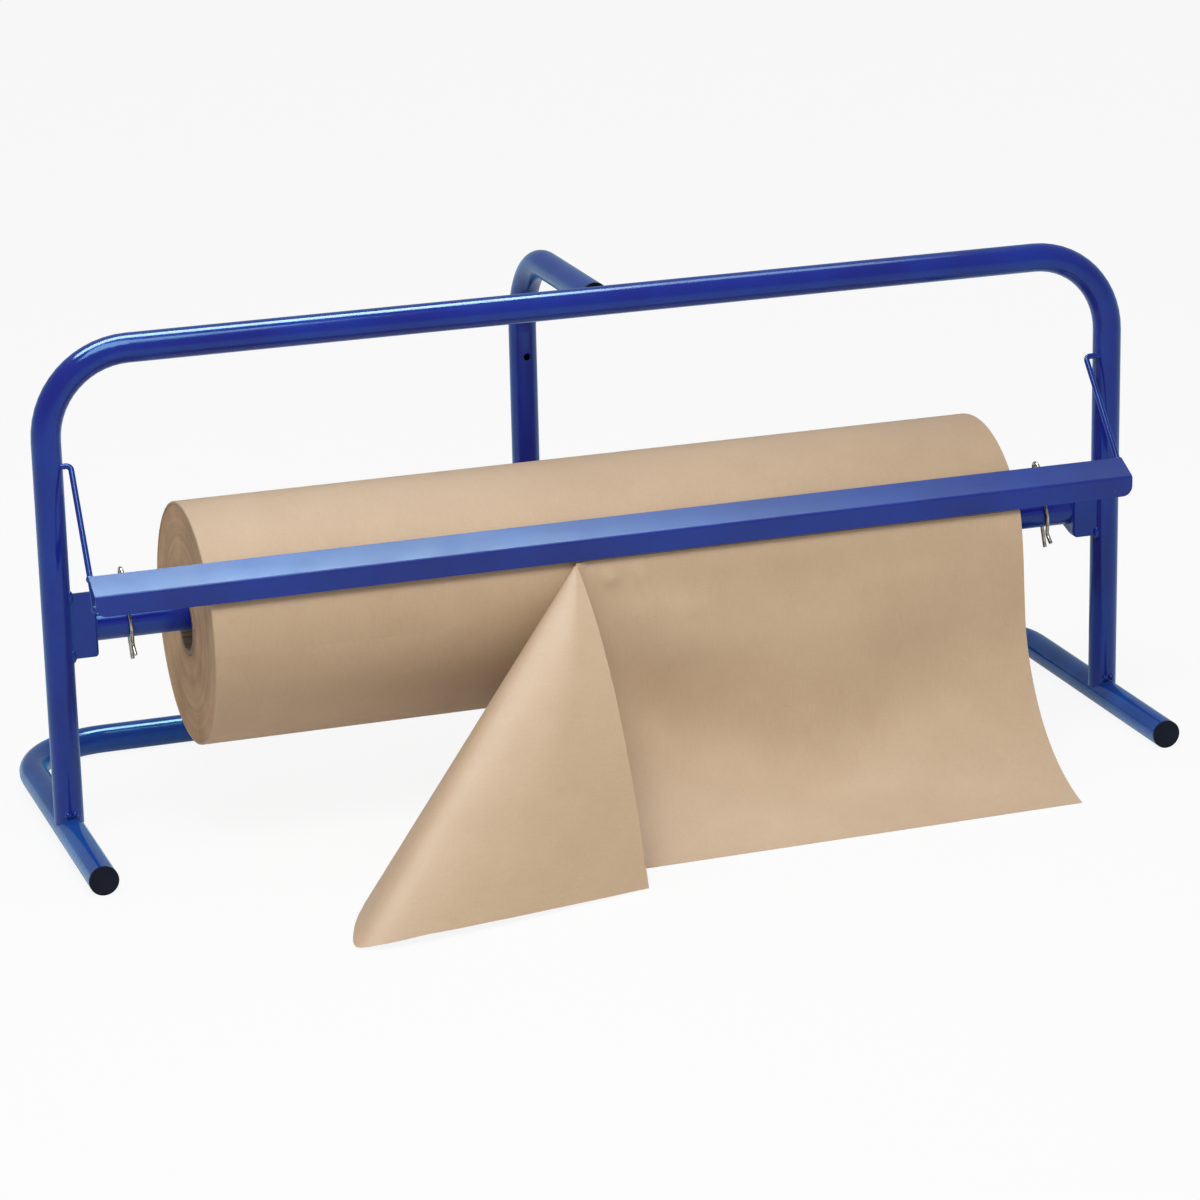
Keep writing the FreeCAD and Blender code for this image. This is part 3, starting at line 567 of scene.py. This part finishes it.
# Slack bulges out along a rounded V under the bar, and below the V the paper dips in.
# Places and widths are in metres, depths in millimetres, and a pair is where a thing fades in.
SLACK_X, SLACK_Z = 0.14, 0.106       # the foot of the V
SLACK_SLOPE, SLACK_ROUND = 0.4, 0.03
SLACK_DEPTH = 11.0
SLACK_ABOVE, SLACK_BELOW = 0.042, 0.052
SLACK_TEAR_SIDE = (-0.05, 0.03)
SLACK_RIGHT_SIDE = (0.12, 0.33)      # to the right it loses this share of its depth
SLACK_RIGHT_LOSS = 0.85
HOLLOW_DEPTH = 7.0
HOLLOW_DROP, HOLLOW_WIDTH = 0.08, 0.032
NIP_X, NIP_Z, NIP_DEPTH, NIP_WIDTH = 0.05, 0.17, 0.9, 0.007
NIP_FLAT = 1.2                       # how much wider than high the nip is
SLANT_DEPTH, FINE_DEPTH = 1.1, 0.3
WAVES_TEAR_SIDE = (-0.06, 0.0)
DENT_X, DENT_Z, DENT_DEPTH, DENT_WIDTH = -0.022, 0.204, 3.0, 0.0056
CREASE_X, CREASE_Z, CREASE_DEPTH, CREASE_WIDTH = 0.004, 0.21, 2.4, 0.006
CREASE_SLANT = 0.3
CREASE_FOOT, CREASE_HEAD = (0.16, 0.19), (0.205, 0.216)
FREE_BELOW_TOP = (0.008, 0.05)       # the sheet is held on the roll, and comes free below it
FREE_ABOVE_FOOT = (0.0, 0.03)        # and its lower edge keeps to its line on the table

# The torn corner rolls over to the front. All its lines start at the apex, at the end of the tear,
# and would meet the table along FOLD_LINE. The paper ends FOLD_RISE above it, both in millimetres.
APEX = Vector((-0.0525, -0.0885, 0.2205))
FOLD_LINE = [Vector(point) for point in (
    (-43, -242.5), (-118, -240), (-186, -229), (-238, -213), (-275, -217), (-295, -247),
    (-311, -284), (-320, -320), (-309, -337), (-269, -337), (-209, -326), (-152, -311.5),
    (-102, -298), (-62, -287))]
FOLD_RISE = [0.4, 0.4, 0.4, 0.4, 0.4, 0.4, 0.4, 0.4, 4.4, 6.4, 5.3, 3.5, 1.8, 0.5]
FOLD_STEPS = 1300                    # how finely the fold line is measured
CORNER_SHARE = 7 / 13                # where the paper's own corner is on the fold line
SWELL_SHARE = 0.85                   # from here on the flap has its full swell
FLAP_SWELL = 0.018                   # how far the flap stands out from its straight lines
FLAP_FRONT = Vector((0.127, -0.762, 0.634))
HANG_BLEND = 0.35                    # share of the fold that still follows the hanging part
RAGGED_SIDE = (0.9, 1)               # the torn edge is ragged, as a share of the fold's turn
RAGGED_START = (0.03, 0.1)           # and clean near the apex
RAGGED_DEPTH = 0.004
RAGGED_WAVES, RAGGED_TEETH = 34, 110  # waves and small teeth along the tear
TEETH_SHARE = 0.6


def hang_line(foot_y):
    """Points (y, z) down the sheet: round the roll, straight down, then forward to the table."""
    radius = ROLL_R + SHEET_GAP
    leave_angle = math.radians(SHEET_LEAVE)
    outward = Vector((-math.cos(leave_angle), math.sin(leave_angle)))
    down = Vector((-math.sin(leave_angle), -math.cos(leave_angle)))
    axis = Vector((ROLL_Y, ROLL_Z))
    leave = axis + outward * radius
    drop = leave + down * ((leave.y - SWEEP_Z) / -down.y)
    chord = Vector((foot_y, SHEET_FLOOR)) - drop
    sweep_r = chord.length_squared / (2 * chord.dot(outward))
    centre = drop + outward * sweep_r
    top_arc = radius * math.radians(SHEET_TOP - SHEET_LEAVE)
    straight = (drop - leave).length
    sweep = 2 * math.asin(chord.length / 2 / sweep_r) * sweep_r
    points = []
    for row in range(ROWS + 1):
        run = (top_arc + straight + sweep) * row / ROWS
        if run < top_arc:
            angle = math.radians(SHEET_TOP) - run / radius
            point = axis + Vector((-math.cos(angle), math.sin(angle))) * radius
        elif run < top_arc + straight:
            point = leave + down * (run - top_arc)
        else:
            angle = (run - top_arc - straight) / sweep_r
            point = centre + (down * math.sin(angle) - outward * math.cos(angle)) * sweep_r
        points.append(point)
    return points


def ease(value, low, high):
    """0 below low, 1 above high, and a smooth step between them."""
    share = min(max((value - low) / (high - low), 0), 1)
    return share * share * (3 - 2 * share)


def hump(distance, width):
    """Bell curve: 1 at no distance, and near 0 from twice the width on."""
    return math.exp(-(distance / width) ** 2)


def sheet_swell(x, z):
    """How far the hanging sheet stands out from its plain drop: slack, a hollow and waves."""
    ridge = SLACK_Z + SLACK_SLOPE * math.sqrt((x - SLACK_X) ** 2 + SLACK_ROUND ** 2)
    side = SLACK_ABOVE if z > ridge else SLACK_BELOW
    fade = ease(x, *SLACK_TEAR_SIDE) * (1 - SLACK_RIGHT_LOSS * ease(x, *SLACK_RIGHT_SIDE))
    slack = SLACK_DEPTH * hump(z - ridge, side) * fade
    hollow = -HOLLOW_DEPTH * hump(z - ridge + HOLLOW_DROP, HOLLOW_WIDTH) * fade
    nip = NIP_DEPTH * hump(math.hypot(x - NIP_X, (z - NIP_Z) * NIP_FLAT), NIP_WIDTH)
    # wide waves that run slantwise, and finer ones, in cells per metre
    slant = noise.noise(Vector((x * 9 + z * 14, x * 3, 1.7)))
    fine = noise.noise(Vector((x * 24, z * 30, 5.1)))
    waves = (slant * SLANT_DEPTH + fine * FINE_DEPTH) * ease(x, *WAVES_TEAR_SIDE)
    return (slack + hollow + nip + waves) * MM


def nip_marks(x, z):
    """A dent and a short crease just under the bar, beside the end of the tear."""
    dent = DENT_DEPTH * hump(math.hypot(x - DENT_X, z - DENT_Z), DENT_WIDTH)
    from_crease = x - CREASE_X - (CREASE_Z - z) * CREASE_SLANT
    crease = CREASE_DEPTH * hump(from_crease, CREASE_WIDTH)
    crease *= ease(z, *CREASE_FOOT) * (1 - ease(z, *CREASE_HEAD))
    return (dent + crease) * MM


def hang_point(x_share, row, line):
    """Point of the hanging part: x_share from the right edge to the end of the tear."""
    y, z = line[row]
    lean = math.tan(math.radians(EDGE_LEAN)) * (line[0].y - z)
    right = SHEET_RIGHT - lean
    x = right + (TEAR_X - right) * x_share
    along = (line[min(row + 1, ROWS)] - line[max(row - 1, 0)]).normalized()
    free = ease(line[0].y - z, *FREE_BELOW_TOP) * ease(z, *FREE_ABOVE_FOOT)
    out = sheet_swell(x, z) * free + nip_marks(x, z)
    return Vector((x, y + along.y * out, z - along.x * out))


def smooth_line(points, share):
    """Point at a share of the way along a smooth line through the points."""
    spans = len(points) - 1
    span = min(int(share * spans), spans - 1)
    t = share * spans - span
    a = points[max(span - 1, 0)]
    b, c = points[span], points[span + 1]
    d = points[min(span + 2, spans)]
    bend = a * 2 - b * 5 + c * 4 - d
    turn = b * 3 - a - c * 3 + d
    return (b * 2 + (c - a) * t + bend * t ** 2 + turn * t ** 3) / 2


def fold_foot(share):
    """Where the paper ends on the line at this share of the fold line."""
    x, y = smooth_line(FOLD_LINE, share)
    spans = len(FOLD_RISE) - 1
    span = min(int(share * spans), spans - 1)
    rise = FOLD_RISE[span] + (FOLD_RISE[span + 1] - FOLD_RISE[span]) * (share * spans - span)
    on_table = Vector((x, y, 0)) * MM
    return on_table.lerp(APEX, rise * MM / APEX.z)


def fold_turns():
    """Shares of the fold line that turn the same angle at the apex from one to the next."""
    ways = [(fold_foot(step / FOLD_STEPS) - APEX).normalized()
            for step in range(FOLD_STEPS + 1)]
    turned_by = [0.0]
    for before, after in zip(ways, ways[1:]):
        turned_by.append(turned_by[-1] + (after - before).length)
    shares = []
    step = 0
    for column in range(FOLD_COLUMNS + 1):
        while step < FOLD_STEPS and turned_by[step] < turned_by[-1] * column / FOLD_COLUMNS:
            step += 1
        shares.append(step / FOLD_STEPS)
    return shares


def fold_point(share, run):
    """Point of the rolled corner, run of the way from the apex to the paper's edge. Its flap
    swells in an arch that is fullest a little above the middle."""
    point = APEX.lerp(fold_foot(share), run)
    swell = ease(share, CORNER_SHARE, SWELL_SHARE) * 4 * run * (1 - run) * (1.25 - 0.5 * run)
    return point + FLAP_FRONT * (FLAP_SWELL * swell)


def torn_share(turn, run, turns):
    """Share of the fold line at this turn about the apex, with the torn edge left ragged."""
    ragged = noise.noise(Vector((run * RAGGED_WAVES, 0.4, 8.2)))
    ragged += TEETH_SHARE * noise.noise(Vector((run * RAGGED_TEETH, 3.1, 0)))
    uneven = ease(turn, *RAGGED_SIDE) * RAGGED_DEPTH * ragged * ease(run, *RAGGED_START)
    at = min(turn + uneven, 1) * FOLD_COLUMNS
    low = min(int(at), FOLD_COLUMNS - 1)
    return turns[low] + (turns[low + 1] - turns[low]) * (at - low)


def corner_flat(turn, run):
    """The same point of the torn corner on the flat sheet, before it was rolled over."""
    angle = math.radians(90) * (1 - turn)
    reach = min(TEAR_LEFT / max(math.cos(angle), 1e-6),
                SHEET_LENGTH / max(math.sin(angle), 1e-6))
    return TEAR_LEFT - math.cos(angle) * reach * run, math.sin(angle) * reach * run


def paper_sheet():
    """The sheet from its right edge to the tear, and its torn corner rolled to the front."""
    columns = HANG_COLUMNS + FOLD_COLUMNS
    bpy.ops.object.select_all(action="DESELECT")
    bpy.ops.mesh.primitive_grid_add(
        x_subdivisions=columns, y_subdivisions=ROWS, size=1, calc_uvs=True)
    sheet = bpy.context.object
    sheet.name = "wrap_sheet"
    mesh = sheet.data
    lines = [hang_line(RIGHT_FOOT_Y + (TEAR_FOOT_Y - RIGHT_FOOT_Y) * n / HANG_COLUMNS)
             for n in range(HANG_COLUMNS + 1)]
    turns = fold_turns()
    flat = {}
    for vertex in mesh.vertices:
        column = round((vertex.co.x + 0.5) * columns)
        row = round((0.5 - vertex.co.y) * ROWS)
        run = row / ROWS
        if column <= HANG_COLUMNS:
            share = column / HANG_COLUMNS
            vertex.co = hang_point(share, row, lines[column])
            across = SHEET_WIDTH - share * (SHEET_WIDTH - TEAR_LEFT)
            flat[vertex.index] = (across, run * SHEET_LENGTH)
        else:
            turn = (column - HANG_COLUMNS) / FOLD_COLUMNS
            fold = fold_point(torn_share(turn, run, turns), run)
            hang = hang_point(1, row, lines[-1]) + (fold - fold_point(0, run))
            vertex.co = hang.lerp(fold, ease(turn, 0, HANG_BLEND))
            flat[vertex.index] = corner_flat(turn, run)
    uv = mesh.uv_layers[0]
    uv.name = "flat_sheet"
    for loop in mesh.loops:
        uv.data[loop.index].uv = flat[loop.vertex_index]
    apply_place(sheet)
    start_edit(sheet)
    bpy.ops.mesh.select_all(action="SELECT")
    bpy.ops.mesh.remove_doubles(threshold=APEX_MERGE)
    end_edit()
    thick = sheet.modifiers.new("thickness", "SOLIDIFY")
    thick.thickness = SHEET_THICK
    thick.offset = 0
    bpy.ops.object.modifier_apply(modifier="thickness")
    smooth_under(SHEET_SHADE_ANGLE)
    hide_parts("paper_sheet")
    finish_piece(sheet, "shaft_set", SHEET_KRAFT)
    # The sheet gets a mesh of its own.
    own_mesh(sheet)


# ---------------------------------------------------------------- stage
FLOOR_SIZE = 60
FLOOR_SEEN, WORLD_SEEN = 0.9, 0.93   # how white the camera sees them
GLOSS_SEEN = 0.3                     # how white gloss and glass see both
WORLD_LEVEL = 0.38
KEY_PLACE, KEY_TARGET = (-0.5, -1.0, 2.2), (0, -0.1, 0.15)
KEY_WIDTH, KEY_DEPTH, KEY_LEVEL = 1.5, 1.1, 6.3
CARD_Y, CARD_Z, CARD_DEPTH = 0.5, 2.2, 0.8
# name, x, width, level
GLOSS_CARDS = (("overhead_card", -0.45, 2.1, 16.0), ("overhead_end", 0.82, 0.44, 4.0))


def softbox(name, place, target, width, depth, level):
    """Rectangular lamp with the given brightness that faces the target."""
    data = bpy.data.lights.new(name, "AREA")
    data.shape = "RECTANGLE"
    data.size, data.size_y = width, depth
    data.energy = level * math.pi * width * depth
    lamp = bpy.data.objects.new(name, data)
    bpy.context.scene.collection.objects.link(lamp)
    lamp.location = place
    lamp.rotation_euler = (Vector(place) - Vector(target)).to_track_quat("Z", "Y").to_euler()
    return lamp


def seen_share(nodes, to_camera, in_gloss):
    """How far a stage surface shows plain white: to the camera, and in gloss and glass."""
    path = nodes.add("ShaderNodeLightPath").outputs
    mirrored = nodes.math("MAXIMUM", path["Is Glossy Ray"], path["Is Transmission Ray"])
    return nodes.math("MAXIMUM", nodes.math("MULTIPLY", path["Is Camera Ray"], to_camera),
                      nodes.math("MULTIPLY", mirrored, in_gloss))


def white_floor():
    bpy.ops.object.select_all(action="DESELECT")
    bpy.ops.mesh.primitive_plane_add(size=FLOOR_SIZE, location=(0, 0, 0))
    floor = bpy.context.object
    floor.name = "studio_floor"
    material, nodes, shader = new_material("floor_white", {
        "Roughness": 0.9, "Specular IOR Level": 0.1})
    cloud = nodes.noise(object_place(nodes), 3, 2)
    tone = nodes.blend(cloud, (0.79, 0.79, 0.79, 1), (0.81, 0.81, 0.81, 1))
    nodes.feed(shader.inputs["Base Color"], tone)
    glow = nodes.add("ShaderNodeEmission", {"Color": (1, 1, 1, 1), "Strength": 1.0})
    mixed = nodes.add("ShaderNodeMixShader")
    nodes.feed(mixed.inputs[0], seen_share(nodes, FLOOR_SEEN, GLOSS_SEEN))
    nodes.feed(mixed.inputs[1], shader.outputs[0])
    nodes.feed(mixed.inputs[2], glow.outputs[0])
    surface = material.node_tree.nodes["Material Output"].inputs["Surface"]
    nodes.feed(surface, mixed.outputs[0])
    set_material(floor, material)


def studio():
    """White floor and surroundings, a softbox in front, and two cards above for the gloss."""
    white_floor()
    world = bpy.data.worlds.new("studio_world")
    bpy.context.scene.world = world
    world.use_nodes = True
    nodes = Nodes(world.node_tree)
    background = world.node_tree.nodes["Background"]
    background.inputs["Color"].default_value = (1, 1, 1, 1)
    strength = nodes.math("MAXIMUM", seen_share(nodes, WORLD_SEEN, GLOSS_SEEN), WORLD_LEVEL)
    nodes.feed(background.inputs["Strength"], strength)
    softbox("key_softbox", KEY_PLACE, KEY_TARGET, KEY_WIDTH, KEY_DEPTH, KEY_LEVEL)
    for name, x, width, level in GLOSS_CARDS:
        card = softbox(name, (x, CARD_Y, CARD_Z), (x, CARD_Y, 0), width, CARD_DEPTH, level)
        card.visible_diffuse = False


# ---------------------------------------------------------------- making
add_camera()

for finish, node_names in (
        (BLUE, ("portal_frame", "rear_stay", "saddle_left", "saddle_right", "post_welds",
                "stay_welds", "saddle_welds", "arm_left", "arm_right", "roll_shaft")),
        (FOOT_BLUE_PAINTED_REFLECTION, ("base_frame",)),
        (BAR_BLUE, ("cutter_bar", "bar_welds")),
        (PLUG, ("foot_plug_left", "foot_plug_right", "stay_plug")),
        (WIRE, ("clip_left", "clip_right")),
        (CORE_BOARD, ("roll_core",))):
    for node_name in node_names:
        dress_node(node_name, finish)

seam_beads()
paper_roll()
paper_sheet()
studio()

bpy.context.scene.view_settings.view_transform = "Standard"
